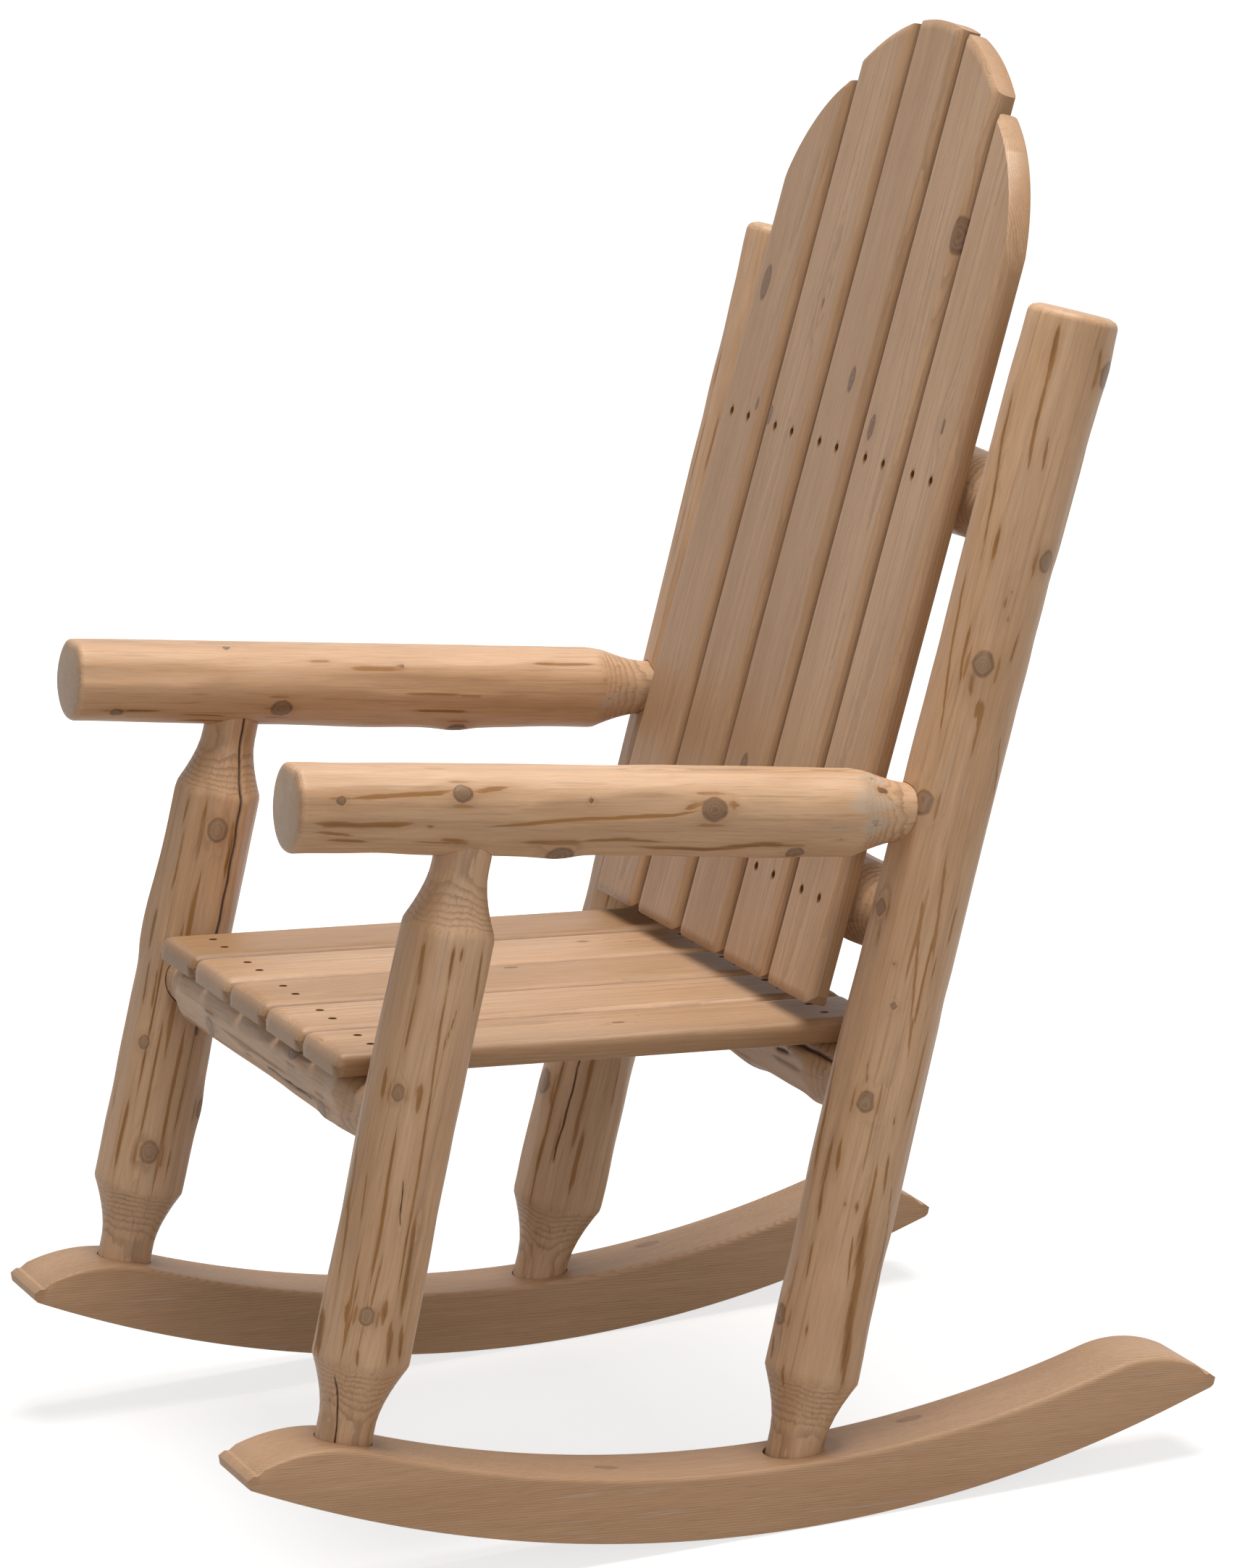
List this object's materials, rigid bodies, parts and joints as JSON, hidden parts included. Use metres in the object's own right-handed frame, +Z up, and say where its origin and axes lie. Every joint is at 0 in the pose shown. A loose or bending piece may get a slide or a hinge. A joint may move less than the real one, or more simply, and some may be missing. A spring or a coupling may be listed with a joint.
{
  "type": "log rocking chair",
  "caption": "Rocking adirondack chair of peeled cedar logs with sawn rockers, slatted seat and an arched slat back.",
  "frame": {"origin": "on the floor, midway between the ends of the rockers and between the two sides", "axes": "+Z up, -Y the way the sitter faces, +X the sitter's left"},
  "size_m": [0.668, 0.8172, 1.1404],
  "materials": {
    "peeled_log": "hand-peeled log, matt, with bark streaks, knots and drying checks",
    "rocker_board": "sawn and sanded plank, matt",
    "slat_board": "sanded board with eased edges, matt",
    "screw_steel": "dull plated countersunk screws"
  },
  "bodies": {
    "root": {"rocker_left": "rocker_board", "rocker_right": "rocker_board", "front_post_left": "peeled_log", "back_post_left": "peeled_log", "arm_left": "peeled_log", "front_post_right": "peeled_log", "back_post_right": "peeled_log", "arm_right": "peeled_log", "front_seat_rail": "peeled_log", "rear_seat_rail": "peeled_log", "lower_back_rail": "peeled_log", "upper_back_rail": "peeled_log", "seat_slat_1": "slat_board", "back_slat_1": "slat_board", "seat_slat_2": "slat_board", "back_slat_2": "slat_board", "seat_slat_3": "slat_board", "back_slat_3": "slat_board", "seat_slat_4": "slat_board", "back_slat_4": "slat_board", "seat_slat_5": "slat_board", "back_slat_5": "slat_board", "front_seat_rail_screws": "screw_steel", "rear_seat_rail_screws": "screw_steel", "lower_back_rail_screws": "screw_steel", "upper_back_rail_screws": "screw_steel"}
  },
  "joints": []
}
